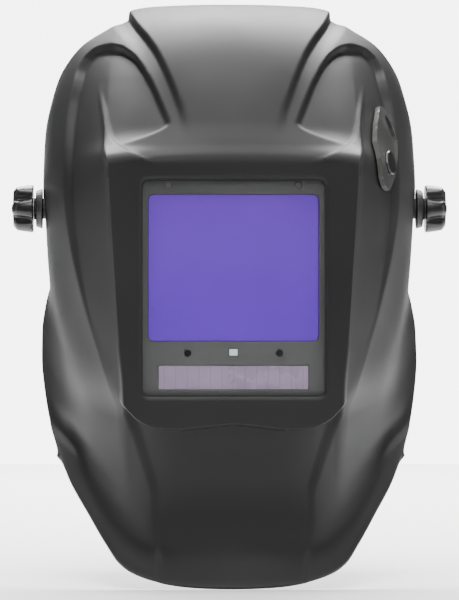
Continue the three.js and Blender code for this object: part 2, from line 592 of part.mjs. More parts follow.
// Lobed grip along Y or X; stub is a shaft joined to its inner face.
function knobBody(axis, a, b, r, lobes, z, stub) {
  const outline = (scale) => {
    const points = [];
    const n = lobes * 6;
    for (let i = 0; i < n; i++) {
      const t = (2 * Math.PI * i) / n;
      const flute = 0.5 - 0.5 * Math.cos(lobes * t);
      const rr = scale * r * (1 - 0.13 * flute ** 1.5);
      points.push([rr * Math.cos(t), rr * Math.sin(t)]);
    }
    return points;
  };
  const rings = [[a, 0.97], [a + 1.2, 1], [b - 3, 0.95], [b, 0.8]];
  const points = [];
  for (const [d, scale] of rings)
    for (const [u, v] of outline(scale))
      points.push(axis === "y" ? vec(u, d, v + z) : vec(d, u, v + z));
  const n = lobes * 6;
  const index = [];
  for (let k = 0; k < rings.length - 1; k++)
    for (let i = 0; i < n; i++) {
      const [p, q] = [k * n + i, k * n + ((i + 1) % n)];
      index.push(p, q, q + n, p, q + n, p + n);
    }
  const ends = [points.length, points.length + 1];
  points.push(axis === "y" ? vec(0, a, z) : vec(a, 0, z));
  points.push(axis === "y" ? vec(0, b, z) : vec(b, 0, z));
  const last = (rings.length - 1) * n;
  for (let i = 0; i < n; i++) {
    const j = (i + 1) % n;
    index.push(ends[0], j, i, ends[1], last + i, last + j);
  }
  const body = closed(points, index);
  return stub ? join(body, stub) : body;
}

// ---- tilt pivots: one set on each side --------------------------------------
const mirrored = (geometry) => {
  const g = geometry.clone().scale(-1, 1, 1);
  const index = Array.from((g.index ?? mergeVertices(g).index).array).reverse();
  const whole = g.index ? g : mergeVertices(g);
  whole.setIndex(index);
  return whole;
};
const PIVOT = { plate0: 82.6, plate1: 87, block1: 94, cone1: 111.4, bush0: 111.8 };
const BUSH = { flange0: 116.8, flange1: 120.8, r: 12.6 };

function pivotPieces() {
  const outline = polygon([[-32, -4], [-24, -13], [24, -13], [34, -4], [40, 14],
    [40, 36], [-26, 36], [-32, 18]]);
  const bracket = new THREE.ExtrudeGeometry(outline, {
    depth: PIVOT.plate1 - PIVOT.plate0, bevelEnabled: false,
  });
  // shape x, y, depth become y, z, x
  bracket.applyMatrix4(new THREE.Matrix4().makeBasis(vec(0, 1, 0), vec(0, 0, 1), vec(1, 0, 0)));
  bracket.translate(PIVOT.plate0, 0, 0);
  const pockets = Object.values(STRAPS).map((y) =>
    block([PIVOT.plate0 - 1, PIVOT.plate0 + 3], [y - 8.6, y + 8.6], [20, 40]));
  const sideBracket = cut(bracket, block([80, 90], [-18, 18], [-5.4, 5.4]), ...pockets);
  const square = block([PIVOT.plate0 - 0.2, PIVOT.block1 + 0.3], [-5, 5], [-5, 5]);
  const bolt = join(rod("x", 78.4, PIVOT.plate0, 7.6, 7.6, 0, 0, 6), square,
    rod("x", PIVOT.block1, KNOB.x1 - 3.4, BOLT_R));
  const pivotBlock = cut(block([PIVOT.plate1 + GAP, PIVOT.block1], [-13, 13], [-10, 10]),
    block([80, 100], [-5.3, 5.3], [-5.3, 5.3]));
  const cone = cut(rod("x", PIVOT.block1 + 0.6, PIVOT.cone1, 14, 9.5, 0, 0, 28),
    rod("x", 80, 120, BOLT_R + 0.3));
  const bush = cut(join(rod("x", PIVOT.bush0, BUSH.flange0 + 0.1, PIVOT_HOLE_R - GAP),
    rod("x", BUSH.flange0, BUSH.flange1, BUSH.r, BUSH.r - 1.4, 0, 0, 32)),
  rod("x", 100, 130, BOLT_R + 0.4));
  const washer = cut(rod("x", BUSH.flange1 + GAP, KNOB.x0 - GAP, 6.8),
    rod("x", 100, 130, BOLT_R + 0.3));
  const knob = cut(knobBody("x", KNOB.x0, KNOB.x1, KNOB.r, KNOB.lobes, 0),
    rod("x", 100, KNOB.x1 - 3, BOLT_R + 0.35));
  const set = {
    side_bracket: [sideBracket, BLACK],
    pivot_bolt: [bolt, STEEL],
    pivot_block: [pivotBlock, GREY],
    spacer_cone: [cone, BLACK],
    shell_bush: [bush, BLACK],
    tension_washer: [washer, RUBBER],
    tension_knob: [knob, BLACK],
  };
  for (const [name, [geometry, mat]] of Object.entries(set)) {
    add(name + "_left", geometry, mat);
    add(name + "_right", mirrored(geometry), mat);
  }
}

windowPieces();
controlPieces();
grindPieces();
grindLead();
headgearPieces();
pivotPieces();

export default helmet;
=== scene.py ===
"""Looks of the auto-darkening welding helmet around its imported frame.

Metres, +Z up, the face looks along -Y. Pieces whose names end in _left are at
+X, the wearer's left. The shell repeats the pattern that the frame was made
from, and the other pieces are placed from the frame's own boxes.
"""

import json
import math

import bmesh
import bpy
import numpy as np
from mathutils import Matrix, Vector


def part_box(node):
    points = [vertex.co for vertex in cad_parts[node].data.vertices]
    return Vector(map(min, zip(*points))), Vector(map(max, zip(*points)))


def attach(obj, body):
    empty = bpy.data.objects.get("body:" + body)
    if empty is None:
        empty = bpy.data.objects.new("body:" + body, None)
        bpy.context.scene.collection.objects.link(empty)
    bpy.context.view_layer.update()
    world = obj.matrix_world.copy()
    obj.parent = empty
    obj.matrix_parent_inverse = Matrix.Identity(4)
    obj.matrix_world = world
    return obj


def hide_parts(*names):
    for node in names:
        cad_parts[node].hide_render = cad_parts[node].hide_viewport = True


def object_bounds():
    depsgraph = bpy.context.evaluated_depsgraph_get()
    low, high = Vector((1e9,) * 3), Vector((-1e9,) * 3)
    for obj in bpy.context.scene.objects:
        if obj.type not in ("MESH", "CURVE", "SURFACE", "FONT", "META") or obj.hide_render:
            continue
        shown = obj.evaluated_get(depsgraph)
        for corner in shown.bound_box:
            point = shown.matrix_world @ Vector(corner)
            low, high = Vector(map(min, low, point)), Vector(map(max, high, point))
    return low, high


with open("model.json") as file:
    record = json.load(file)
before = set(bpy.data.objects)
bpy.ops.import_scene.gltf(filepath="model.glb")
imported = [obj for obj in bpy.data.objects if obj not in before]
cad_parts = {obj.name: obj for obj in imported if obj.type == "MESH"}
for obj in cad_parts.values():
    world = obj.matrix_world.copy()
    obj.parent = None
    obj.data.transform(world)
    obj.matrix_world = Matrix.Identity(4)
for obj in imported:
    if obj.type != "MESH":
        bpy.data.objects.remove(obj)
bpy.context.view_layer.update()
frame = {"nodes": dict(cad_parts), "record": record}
NODES = frame["nodes"]
MM = 0.001


# ---- shader helpers ---------------------------------------------------------
class Shader:
    """A node material: colour, roughness and bump are built by short calls."""

    def __init__(self, name, color, roughness, **inputs):
        self.material = bpy.data.materials.new(name)
        self.material.use_nodes = True
        self.tree = self.material.node_tree
        self.bsdf = self.tree.nodes["Principled BSDF"]
        self.bsdf.inputs["Base Color"].default_value = (*color, 1)
        self.bsdf.inputs["Roughness"].default_value = roughness
        for key, value in inputs.items():
            self.bsdf.inputs[key.replace("_", " ")].default_value = value
        self.color, self.roughness = color, roughness
        self.height = None
        coords = self.node("ShaderNodeTexCoord")
        self.place = coords.outputs["Object"]

    def node(self, kind, **values):
        made = self.tree.nodes.new(kind)
        for key, value in values.items():
            setattr(made, key, value)
        return made

    def link(self, source, target):
        self.tree.links.new(source, target)

    def noise(self, scale, detail=4, stretch=None):
        texture = self.node("ShaderNodeTexNoise")
        texture.inputs["Scale"].default_value = scale
        texture.inputs["Detail"].default_value = detail
        self.link(self.stretched(stretch), texture.inputs["Vector"])
        return texture.outputs["Fac"]

    def stretched(self, scale):
        if scale is None:
            return self.place
        mapping = self.node("ShaderNodeMapping")
        mapping.inputs["Scale"].default_value = scale
        self.link(self.place, mapping.inputs["Vector"])
        return mapping.outputs["Vector"]

    def cell_edges(self, scale):
        texture = self.node("ShaderNodeTexVoronoi", feature="DISTANCE_TO_EDGE")
        texture.inputs["Scale"].default_value = scale
        self.link(self.place, texture.inputs["Vector"])
        return texture.outputs["Distance"]

    def waves(self, scale, direction):
        texture = self.node("ShaderNodeTexWave", bands_direction=direction)
        texture.inputs["Scale"].default_value = scale
        self.link(self.place, texture.inputs["Vector"])
        return texture.outputs["Fac"]

    def ramp(self, source, low, high, start=0.3, end=0.7):
        """Runs from low to high, greys or colours, between two input values."""
        ramp = self.node("ShaderNodeValToRGB")
        a, b = ramp.color_ramp.elements
        a.position, b.position = start, end
        a.color = (*low, 1) if len(np.shape(low)) else (low, low, low, 1)
        b.color = (*high, 1) if len(np.shape(high)) else (high, high, high, 1)
        self.link(source, ramp.inputs["Fac"])
        return ramp.outputs["Color"]

    def mix(self, factor, a, b, blend="MIX"):
        mixer = self.node("ShaderNodeMix", data_type="RGBA", blend_type=blend)
        sockets = (mixer.inputs[0], mixer.inputs[6], mixer.inputs[7])  # factor, A, B
        for socket, value in zip(sockets, (factor, a, b)):
            if hasattr(value, "links"):
                self.link(value, socket)
            elif np.shape(value):
                socket.default_value = (*value, 1)
            else:
                socket.default_value = value
        return mixer.outputs[2]

    def bump(self, source, depth, strength=1.0):
        """Adds a bump of that depth in metres; several calls stack."""
        bump = self.node("ShaderNodeBump")
        bump.inputs["Distance"].default_value = depth
        bump.inputs["Strength"].default_value = strength
        self.link(source, bump.inputs["Height"])
        if self.height is not None:
            self.link(self.height, bump.inputs["Normal"])
        self.height = bump.outputs["Normal"]
        self.link(self.height, self.bsdf.inputs["Normal"])
        return self

    def rubbed_edges(self, amount):
        """0 on flat parts and amount on edges, from the mesh's own pointiness."""
        geometry = self.node("ShaderNodeNewGeometry")
        return self.ramp(geometry.outputs["Pointiness"], 0.0, amount, 0.515, 0.6)

    def tint(self, variation, scale, edge_light=None, edge_amount=0.0):
        """Uneven colour, and lighter rubbed edges if edge_light is given."""
        dark = tuple(c * (1 - variation) for c in self.color)
        pale = tuple(c * (1 + variation) for c in self.color)
        color = self.ramp(self.noise(scale, 5), dark, pale)
        if edge_light is not None:
            color = self.mix(self.rubbed_edges(edge_amount), color, edge_light)
        self.link(color, self.bsdf.inputs["Base Color"])
        return self

    def uneven_gloss(self, spread, scale=14.0):
        low, high = self.roughness - spread, self.roughness + spread
        self.link(self.ramp(self.noise(scale, 6), low, high), self.bsdf.inputs["Roughness"])
        return self


def moulded(name, color, roughness, grain=0.00006, **inputs):
    """Injection-moulded plastic: a fine spark-eroded grain and rubbed edges."""
    s = Shader(name, color, roughness, **inputs)
    light = tuple(min(1, c * 2.2 + 0.01) for c in color)
    s.tint(0.10, 11.0, light, 0.4).uneven_gloss(0.05)
    s.bump(s.noise(1500, 3), grain, 0.35)
    s.bump(s.noise(38, 2), 0.0001, 0.10)
    return s.material


def cloth(name, color):
    s = Shader(name, color, 0.92, Sheen_Weight=0.5, Sheen_Roughness=0.5)
    s.tint(0.35, 240.0)
    s.bump(s.waves(420, "X"), 0.00018, 0.5)
    s.bump(s.waves(420, "Z"), 0.00018, 0.5)
    s.bump(s.noise(30, 3), 0.0006, 0.4)
    return s.material


def metal(name, color, roughness):
    s = Shader(name, color, roughness, Metallic=1.0)
    s.tint(0.08, 60.0).uneven_gloss(0.08, 30.0)
    s.bump(s.noise(700, 2, (1, 12, 1)), 0.00002, 0.4)
    return s.material


def rubber():
    s = Shader("rubber", (0.012, 0.012, 0.012), 0.75)
    s.tint(0.2, 20.0).uneven_gloss(0.08)
    s.bump(s.noise(900, 3), 0.00005, 0.5)
    return s.material


def clear_lens():
    s = Shader("clear_lens", (0.03, 0.031, 0.033), 0.04, Alpha=0.10, Specular_IOR_Level=0.6)
    s.uneven_gloss(0.02, 50.0)
    return s.material


def filter_glass():
    """Violet interference coating, paler towards the top as painted light from above."""
    s = Shader("filter_glass", (0.12, 0.07, 0.42), 0.25, Coat_Weight=0.3)
    axes = s.node("ShaderNodeSeparateXYZ")
    s.link(s.place, axes.inputs[0])
    low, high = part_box("filter_glass")
    height = s.node("ShaderNodeMapRange")
    height.inputs["From Min"].default_value = low.z
    height.inputs["From Max"].default_value = high.z
    s.link(axes.outputs["Z"], height.inputs["Value"])
    # painted light: the ramp by height makes the top paler, as if lit from above
    color = s.ramp(height.outputs["Result"], (0.15, 0.040, 0.62), (0.19, 0.060, 0.66), 0.15, 1.0)
    haze = s.ramp(s.noise(30, 2), (0.97, 0.97, 0.97), (1.03, 1.03, 1.03))
    s.link(s.mix(1.0, color, haze, "MULTIPLY"), s.bsdf.inputs["Base Color"])
    s.uneven_gloss(0.02, 40.0)
    return s.material


def solar_cell():
    """Amorphous strip: mauve with fine dark lines between its cells."""
    s = Shader("solar_cell", (0.36, 0.30, 0.40), 0.3, Coat_Weight=0.5)
    lines = s.ramp(s.waves(46, "X"), (0.33, 0.26, 0.37), (0.38, 0.30, 0.43), 0.0, 0.05)
    haze = s.ramp(s.noise(120, 3), (0.93, 0.93, 0.93), (1.05, 1.05, 1.05))
    s.link(s.mix(1.0, lines, haze, "MULTIPLY"), s.bsdf.inputs["Base Color"])
    s.uneven_gloss(0.06, 60.0)
    return s.material


def circuit_board():
    s = Shader("circuit_board", (0.015, 0.08, 0.04), 0.35, Coat_Weight=0.3)
    edges = s.cell_edges(260)
    tracks = s.ramp(edges, (0.05, 0.2, 0.09), (0.015, 0.08, 0.04), 0.04, 0.09)
    s.link(tracks, s.bsdf.inputs["Base Color"])
    s.bump(edges, 0.0001, 0.5)
    return s.material


def light_pipe():
    # The faint emission is a painted glow: the pipe shines though no lamp lights it.
    s = Shader("light_pipe", (0.62, 0.80, 0.77), 0.25, Emission_Strength=0.25)
    s.bsdf.inputs["Emission Color"].default_value = (0.7, 1.0, 0.95, 1)
    s.tint(0.06, 400.0)
    s.bump(s.noise(500, 2), 0.0001, 0.4)
    return s.material


def lcd_readout():
    s = Shader("lcd_readout", (0.20, 0.23, 0.19), 0.18, Coat_Weight=0.4)
    s.tint(0.08, 90.0)
    s.bump(s.waves(900, "X"), 0.00003, 0.4)
    return s.material


MATERIALS = {
    "nylon_shell": moulded("shell_nylon", (0.013, 0.013, 0.0135), 0.5, 0.00009,
                           Specular_IOR_Level=0.2),
    "black_plastic": moulded("black_plastic", (0.012, 0.012, 0.012), 0.48),
    "gloss_black": moulded("gloss_black", (0.008, 0.008, 0.009), 0.30, 0.00004),
    "grey_plastic": moulded("grey_plastic", (0.085, 0.086, 0.085), 0.42),
    "rubber": rubber(),
    "foam": cloth("pad_cloth", (0.028, 0.029, 0.032)),
    "clear_lens": clear_lens(),
    "filter_glass": filter_glass(),
    "solar_cell": solar_cell(),
    "light_pipe": light_pipe(),
    "lcd_readout": lcd_readout(),
    "circuit_board": circuit_board(),
    "steel": metal("steel", (0.55, 0.55, 0.56), 0.32),
}
SLOT_OF = {s["node"]: s["material_slot"] for s in frame["record"]["subparts"]}
OWN_LOOK = {  # nodes that look different from the rest of their slot
    "grind_plate": moulded("grind_satin", (0.028, 0.028, 0.027), 0.34, 0.00016),
    "arc_sensor_1": MATERIALS["grey_plastic"],
    "arc_sensor_2": MATERIALS["grey_plastic"],
}


# ---- mesh helpers -------------------------------------------------------------
def add_object(name, data):
    obj = bpy.data.objects.new(name, data)
    bpy.context.scene.collection.objects.link(obj)
    return obj


def add_mesh(name, points, faces):
    mesh = bpy.data.meshes.new(name)
    mesh.from_pydata(points, [], faces)
    return add_object(name, mesh)


def finish_piece(obj, slot, body, replaces, sharp):
    """Faces outwards, smooth below the sharp angle, with its slot and body."""
    face_outwards(obj.data)
    obj.data.materials.clear()
    obj.data.materials.append(MATERIALS[slot])
    smooth_by_angle(obj.data, sharp)
    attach(obj, body)
    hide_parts(*replaces)


def face_outwards(mesh):
    bm = bmesh.new()
    bm.from_mesh(mesh)
    bmesh.ops.recalc_face_normals(bm, faces=bm.faces)
    bm.to_mesh(mesh)
    bm.free()


def smooth_by_angle(mesh, degrees):
    mesh.polygons.foreach_set("use_smooth", [True] * len(mesh.polygons))
    mesh.set_sharp_from_angle(angle=math.radians(degrees))


def apply_modifiers(obj):
    graph = bpy.context.evaluated_depsgraph_get()
    graph.update()
    mesh = bpy.data.meshes.new_from_object(obj.evaluated_get(graph))
    obj.modifiers.clear()
    obj.data = mesh


def cutter(name, outlines):
    obj = add_mesh(name, *rings(outlines))
    face_outwards(obj.data)
    return obj


def subtract(obj, *tools):
    """Cuts the tools out of obj and removes them."""
    for tool in tools:
        cut = obj.modifiers.new("cut", "BOOLEAN")
        cut.operation, cut.object, cut.solver = "DIFFERENCE", tool, "MANIFOLD"
    apply_modifiers(obj)
    for tool in tools:
        bpy.data.objects.remove(tool)


def rings(outlines):
    """Points and faces of a solid through equal-length closed outlines."""
    n = len(outlines[0])
    points = np.concatenate(outlines)
    faces = []
    for k in range(len(outlines) - 1):
        for i in range(n):
            a, b = k * n + i, k * n + (i + 1) % n
            faces.append((a, b, b + n, a + n))
    faces.append(tuple(reversed(range(n))))
    faces.append(tuple(range(len(points) - n, len(points))))
    return [tuple(p) for p in points], faces


def rounded_rect(w, h, r, y, z, arc=10):
    """Closed outline square to Y and centred on X = 0, in metres."""
    out = []
    for cx, cz, start in ((1, 1, 0), (-1, 1, 90), (-1, -1, 180), (1, -1, 270)):
        for i in range(arc + 1):
            a = math.radians(start + 90 * i / arc)
            out.append((
                cx * (w / 2 - r) + r * math.cos(a),
                y,
                z + cz * (h / 2 - r) + r * math.sin(a),
            ))
    return np.array(out)


# ---- the shell's surface: the same pattern as the frame's, drawn finer ----------
SECTIONS = np.array([
    [[0, -122, -240], [33, -120, -238.5], [57, -115, -233], [71, -107, -225.5],
     [81, -95.5, -212.5], [92, -80.5, -195], [103, -64, -177], [111, -48, -159]],
    [[0, -114.5, -221], [33, -112.5, -219.5], [50.5, -107.5, -214.5], [63, -99.5, -207],
     [75.5, -87.5, -194.5], [89, -70.5, -177.5], [101, -53, -161], [114.5, -38, -149]],
    [[0, -112.5, -200], [33, -111.5, -199], [50, -107.5, -196], [62, -100.5, -190],
     [73, -90.5, -180], [89, -69, -164], [103, -43, -149], [118, -26, -137]],
    [[0, -116, -173], [33, -115.5, -172], [50, -112.5, -170], [62, -107, -166],
     [72, -99.5, -161], [91, -74, -148], [106.5, -42, -134], [121.5, -12, -119]],
    [[0, -129, -146], [33, -128.5, -145], [50, -126, -143], [62, -121.5, -138],
     [72, -113.5, -135], [93, -78, -127], [109, -36, -115], [123.8, 2, -99]],
    [[0, -136.5, -120], [33, -136.5, -120], [54, -136, -119], [68, -133, -117],
     [78, -120, -114], [99, -75, -105], [112, -28, -93], [124, 14, -81]],
    [[0, -137, -80], [33, -137, -80], [56, -137, -80], [71.8, -137, -80],
     [89, -106, -80], [107, -60, -75], [115.5, -15, -69], [122, 25, -63]],
    [[0, -137, -30], [33, -137, -30], [58, -137, -30], [75, -137, -30],
     [101.6, -88, -31], [114, -42, -32], [119.5, 0, -38], [118, 33, -42]],
    [[0, -137, 18], [33, -137, 18], [60, -136.7, 17.5], [78, -134.5, 16],
     [106.4, -80, 9], [117.5, -35, 2], [121.5, 4, -8], [118.5, 38, -20]],
    [[0, -121, 52], [33, -119, 51.5], [60, -113.5, 49], [82, -103, 45],
     [105.5, -66, 37], [117.5, -30, 26], [123, 4, 14], [121, 38, 2]],
    [[0, -96, 86], [33, -94, 85.5], [58, -88, 82], [82, -74, 75],
     [102.5, -47, 64], [116, -20, 50], [122.5, 9, 35], [122.5, 38, 20]],
    [[0, -62, 113], [33, -60, 112], [59, -55, 108.5], [81, -44, 100],
     [100.5, -25, 87], [114.2, -5, 71], [121.3, 16, 54.5], [122.8, 38, 38]],
    [[0, -27, 127.5], [33, -26, 126.8], [60, -22, 124], [81, -15, 114],
     [99.5, -3, 101.5], [111.8, 10, 85.5], [118.7, 24, 69], [120.8, 38, 54]],
    [[0, 5, 131.5], [33, 5.5, 131], [62, 7, 128.6], [80, 10, 119],
     [97, 15, 108.5], [109.1, 22, 94.5], [115.2, 30, 81], [117.6, 38, 68]],
    [[0, 36, 127.5], [32, 36, 127], [60, 36, 124.5], [77.5, 36.5, 115.5],
     [92.5, 37, 105.5], [103.2, 37.5, 96.5], [109.7, 38, 88.5], [113.8, 38, 80]],
], float)
ROWS, COLUMNS = SECTIONS.shape[0] - 1, SECTIONS.shape[1] - 1
BEZEL_CREASE = np.array([0, 0, 0, 0.2, 0.5, 0.9, 1, 1, 1, 0.7, 0.3, 0, 0, 0, 0])
VALLEY_CREASE = np.array([0, 0, 0, 0, 0.3, 0.6, 0.7, 0.7, 0.6, 0.4, 0, 0, 0, 0, 0])
PATTERN = 352 / 371.5 * MM  # metres for one pattern millimetre
WALL = 0.0028
RIM_BEAD = 0.3  # how far the rim is rounded out, as a share of the wall
RIM_SPREAD = 6  # neighbours on each side that even out the bead's direction
SLOPE_STEP = 0.02  # in columns and rows, for the surface normal
WINDOW = (0.1085, 0.1275, 0.005)  # width, height and corner radius
SEAT_ROOM, SEAT_RADIUS = 0.0008, 0.0074
PIVOT_BORE = 0.0066

# pattern millimetres
BEZEL_Y = -137
BEZEL_TOP = 24
PANEL_RISE = 3.2
GROOVE_DEPTH = 2.2
ARCH_DEPTH_INNER, ARCH_DEPTH_OUTER = 6.5, 4.2
RIDGE_RISE = 1.4
CHIN_DEPTH_LOW, CHIN_DEPTH_MORE = 0.9, 3


def smooth(v):
    v = np.clip(v, 0, 1)
    return v * v * (3 - 2 * v)


def hermite(p1, p2, m1, m2, t):
    t2, t3 = t * t, t * t * t
    return (p1 * (2 * t3 - 3 * t2 + 1) + m1 * (t3 - 2 * t2 + t) + p2 * (3 * t2 - 2 * t3)
            + m2 * (t3 - t2))


def along(values, s):
    """Smooth values at positions s down the first axis; flat runs stay flat."""
    values = np.asarray(values, float)
    step = np.diff(values, axis=0)
    before, after = step[:-1], step[1:]
    size = np.minimum(np.abs(before + after) / 2, 3 * np.minimum(np.abs(before), np.abs(after)))
    inner = np.where(before * after > 0, np.sign(before) * size, 0)
    slope = np.concatenate([step[:1], inner, step[-1:]])
    i = np.clip(np.floor(s).astype(int), 0, len(values) - 2)
    t = (s - i).reshape(-1, *[1] * (values.ndim - 1))
    return hermite(values[i], values[i + 1], slope[i], slope[i + 1], t)


def styling_line(*points):
    """Half width against height, or height against half width, as a function."""
    at, value = np.array(points, float).T

    def read(v):
        v = np.clip(v, at[0], at[-1])
        i = np.clip(np.searchsorted(at, v) - 1, 0, len(at) - 2)
        t = (v - at[i]) / (at[i + 1] - at[i])
        return along(value, (i + t).ravel()).reshape(np.shape(v))

    return read


panel_edge = styling_line((38, 25), (47, 28.7), (62, 33.2), (75, 37.7), (87, 42.5),
                          (97, 47.1), (107, 53.2), (116.5, 60.1), (127, 65.8))
arch_inner = styling_line((42, 35.6), (53, 40.4), (66, 45.7), (78.5, 51), (88.5, 56.4),
                          (96.7, 62.1), (103.4, 70.5), (107, 78.7))
arch_outer = styling_line((-119, 74.2), (-108, 78.6), (-90, 84), (-71, 91.5), (-49, 97.2),
                          (-28, 101.6), (-6, 105), (19, 106.4), (42, 106.3), (56, 105.4),
                          (70, 103.8), (82, 101.2), (91, 99.2), (99, 94.8), (104.4, 88.5),
                          (107, 78.7))
bezel_edge = styling_line((-112, 69.4), (-91, 71), (-48, 73.6), (-2, 77.3), (22, 78.9),
                          (40, 80.9), (57, 83.6), (79, 87.8))
lip_edge = styling_line((0, -139.3), (9, -140.1), (22, -141.7), (36, -142.9), (45, -142),
                        (54, -139.8), (61, -135.8), (67, -129.6), (70.6, -124.6))
scoop_edge = styling_line((26, 48), (29, 56), (33, 64), (39, 72.3), (46, 76.5), (54, 79.6),
                          (68, 83.6), (80, 87.4))
chin_edge = styling_line((-232, 47.5), (-214, 49), (-200, 51), (-180, 51.5), (-170, 54.5),
                         (-158, 58.5), (-144, 63), (-132, 68))


def base_surface(c, s):
    """Pattern points at columns c >= 0 and sections s (flat arrays)."""
    net = along(SECTIONS, s)  # samples x columns x 3
    i = np.clip(np.floor(c).astype(int), 0, COLUMNS - 1)
    t = (c - i)[:, None]
    n = np.arange(len(c))
    a, b = net[n, i], net[n, i + 1]
    before = net[n, np.abs(i - 1)] * np.where((i == 0)[:, None], (-1, 1, 1), 1)
    after = np.where((i + 2 <= COLUMNS)[:, None], net[n, np.minimum(i + 2, COLUMNS)], 2 * b - a)
    row = np.clip(np.floor(s).astype(int), 0, ROWS - 1)

    def crease(k):
        weight = np.zeros(len(c))
        for column, table in ((3, BEZEL_CREASE), (4, VALLEY_CREASE)):
            here = table[row] + (table[row + 1] - table[row]) * (s - row)
            weight = np.where(k == column, here, weight)
        return weight[:, None]

    m1 = (b - before) / 2 * (1 - crease(i)) + (b - a) * crease(i)
    m2 = (after - a) / 2 * (1 - crease(i + 1)) + (b - a) * crease(i + 1)
    return hermite(a, b, m1, m2, t)


def bezel_fill(p):
    """How far forward the base surface is filled up to the flat bezel."""
    x, y, z = p.T
    across = 1 - smooth((x - bezel_edge(z) + 1) / 2.6)
    between = smooth((z - lip_edge(x)) / 2.2) * (1 - smooth((z - BEZEL_TOP) / 13))
    return across * between * np.maximum(0, y - BEZEL_Y)


def styling(x, z):
    """Moulded styling above the base surface at front-view (x, z), pattern mm."""
    # forehead panel and the groove beside it
    brow = smooth((z - 35) / 70)
    off_panel = x - panel_edge(z)
    h = PANEL_RISE * brow * (1 - smooth((off_panel + 1.5) / 3.0))
    h -= GROOVE_DEPTH * brow * smooth(off_panel / 3) * (1 - smooth((off_panel - 6) / 10))
    # arched recess, from the bezel's edge below to the arch's own edge above
    lower = smooth((z - 30) / 22)
    inner = bezel_edge(z) * (1 - lower) + arch_inner(z) * lower
    outer = arch_outer(z)
    across = np.clip((x - inner) / np.maximum(outer - inner, 1), 0, 1)
    deep_inner = ARCH_DEPTH_INNER * smooth((z - 34) / 50)
    deep_outer = ARCH_DEPTH_OUTER * smooth((z + 105) / 150)
    inside = smooth((x - inner + 1) / 4.6) * (1 - smooth((x - outer + 2) / 3.4))
    depth = deep_inner * (1 - across) + deep_outer * across
    h -= inside * depth * smooth((107 - z) / 5) * (z < 107)
    # ridge over the corner between the bezel and the recess
    ridge = smooth((z - 24) / 6) * (1 - smooth((z - 60) / 24))
    on_ridge = smooth((x - scoop_edge(z)) / 3.2) * (1 - smooth((x - bezel_edge(z)) / 3))
    h += RIDGE_RISE * ridge * on_ridge
    # chin, set back below the lip
    low = z < -110
    depth = CHIN_DEPTH_MORE * (1 - smooth((-165 - z) / 45)) + CHIN_DEPTH_LOW
    below = 1 - smooth((z - lip_edge(x) + 0.5) / 2)
    h -= low * depth * below * (1 - smooth((x - chin_edge(z) + 4) / 5)) * smooth((z + 241) / 6)
    return h


def shell_surface(c, s):
    """Outer shell points and unit normals, metres; c < 0 is the -X side."""
    c, s = np.asarray(c, float).ravel(), np.asarray(s, float).ravel()
    side = np.where(c < 0, -1.0, 1.0)
    a = np.minimum(np.abs(c), COLUMNS)
    e = SLOPE_STEP
    p = base_surface(a, s)
    across = base_surface(np.minimum(a + e, COLUMNS), s) - base_surface(np.maximum(a - e, 0), s)
    across[a < e] = (1, 0, 0)  # the shell is symmetric about its middle
    up = base_surface(a, np.minimum(s + e, ROWS)) - base_surface(a, np.maximum(s - e, 0))
    normal = np.cross(across, up)
    normal /= np.linalg.norm(normal, axis=1)[:, None]
    p[:, 1] -= bezel_fill(p)
    p += normal * styling(p[:, 0], p[:, 2])[:, None]
    p *= PATTERN
    p[:, 0] *= side
    normal[:, 0] *= side
    return p, normal


def dense(stops):
    """Positions along stops [(value, steps to the next)], last has none."""
    out = []
    for (a, n), (b, _) in zip(stops, stops[1:]):
        out.extend(np.linspace(a, b, n, endpoint=False))
    return np.array(out + [stops[-1][0]])


def build_shell():
    """Outer and inner skin, joined by a rounded rim, with its openings cut."""
    half = dense([(0, 12), (1, 22), (2, 24), (2.8, 10), (3.3, 20), (4, 22), (5, 14), (6, 12),
                  (7, 0)])
    columns = np.concatenate([-half[:0:-1], half])
    rows = dense([(0, 8), (1, 8), (2, 10), (3, 12), (4, 20), (4.6, 9), (5, 10), (6, 8), (7, 10),
                  (8, 24), (9, 32), (10, 30), (11, 30), (12, 24), (13, 14), (14, 0)])
    c, s = np.meshgrid(columns, rows)
    outer, normal = shell_surface(c, s)
    inner = outer - normal * WALL
    nr, nc = c.shape
    count = nr * nc
    grid = np.arange(count).reshape(nr, nc)
    a, b, d, e = grid[:-1, :-1], grid[:-1, 1:], grid[1:, 1:], grid[1:, :-1]
    skin = np.stack([a, b, d, e], -1).reshape(-1, 4)
    rim = np.concatenate([grid[0], grid[1:, -1], grid[-1, -2::-1], grid[-2:0:-1, 0]])
    nxt = np.roll(rim, -1)
    # a row of points halfway between the skins stands out and rounds the rim
    middle = (outer[rim] + inner[rim]) / 2
    inward = np.concatenate([grid[1], grid[1:, -2], grid[-2, -2::-1], grid[-2:0:-1, 1]])
    away = outer[rim] - outer[inward]
    away /= np.maximum(np.linalg.norm(away, axis=1), 1e-9)[:, None]
    spread = range(-RIM_SPREAD, RIM_SPREAD + 1)
    away = sum(np.roll(away, k, axis=0) for k in spread) / len(spread)
    bead = middle + away * WALL * RIM_BEAD
    extra = 2 * count + np.arange(len(rim))
    after = np.roll(extra, -1)
    faces = [skin, skin[:, ::-1] + count,
             np.stack([nxt, rim, extra, after], -1),
             np.stack([after, extra, rim + count, nxt + count], -1)]
    points = np.concatenate([outer, inner, bead])
    obj = add_mesh("shell_moulding", points.tolist(), np.concatenate(faces).tolist())
    face_outwards(obj.data)
    subtract(obj, window_cutter(), seat_cutter(), pivot_cutter())
    finish_piece(obj, "nylon_shell", "shell", ["helmet_shell"], sharp=50)


